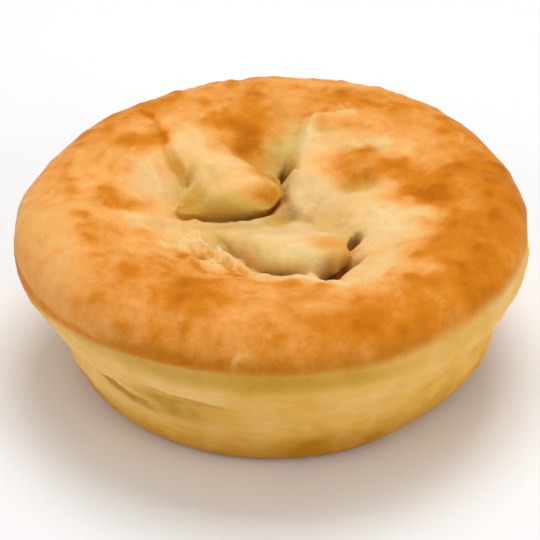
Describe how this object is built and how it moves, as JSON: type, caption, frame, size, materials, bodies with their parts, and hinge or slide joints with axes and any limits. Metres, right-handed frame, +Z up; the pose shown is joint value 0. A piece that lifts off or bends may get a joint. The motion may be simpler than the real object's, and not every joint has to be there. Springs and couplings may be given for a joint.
{
  "type": "meat pie",
  "caption": "Single-serve round beef and mushroom pie: golden puffed pastry lid with vent slits and lifted tongues over a sunken middle, on a pale flared pastry case.",
  "frame": {"origin": "centre of the pie's footprint, on the surface that it stands on", "axes": "+Z up through the lid; -Y to the front, the side to which the tongues' free edges open; +X to the right seen from the front"},
  "size_m": [0.1146, 0.1154, 0.043],
  "materials": {
    "pastry_case": "matte baked short pastry, pale",
    "pastry_lid": "egg-washed baked pastry, golden brown"
  },
  "bodies": {
    "root": {"pastry_case": "pastry_case", "pastry_lid": "pastry_lid"}
  },
  "joints": []
}
